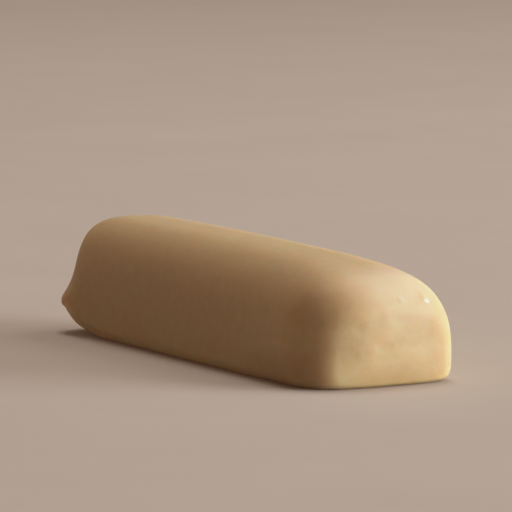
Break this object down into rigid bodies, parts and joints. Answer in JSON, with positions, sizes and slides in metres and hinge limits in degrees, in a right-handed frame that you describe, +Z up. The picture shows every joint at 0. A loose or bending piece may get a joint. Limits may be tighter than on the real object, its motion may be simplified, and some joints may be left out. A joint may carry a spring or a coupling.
{
  "type": "marzipan loaf",
  "caption": "Bar of almond paste with a rounded top, a flat base, softly turned ends and a small ear pinched out at one corner.",
  "frame": {"origin": "middle of the loaf's bounding box, on the plane that its flat base rests on", "axes": "+X along the loaf towards the end with the shallow hollow, +Z up out of the flat base"},
  "size_m": [0.1462, 0.0464, 0.0329],
  "materials": {
    "marzipan": "smooth pale almond paste with a soft, slightly oily sheen"
  },
  "bodies": {
    "root": {"marzipan_loaf": "marzipan"}
  },
  "joints": []
}
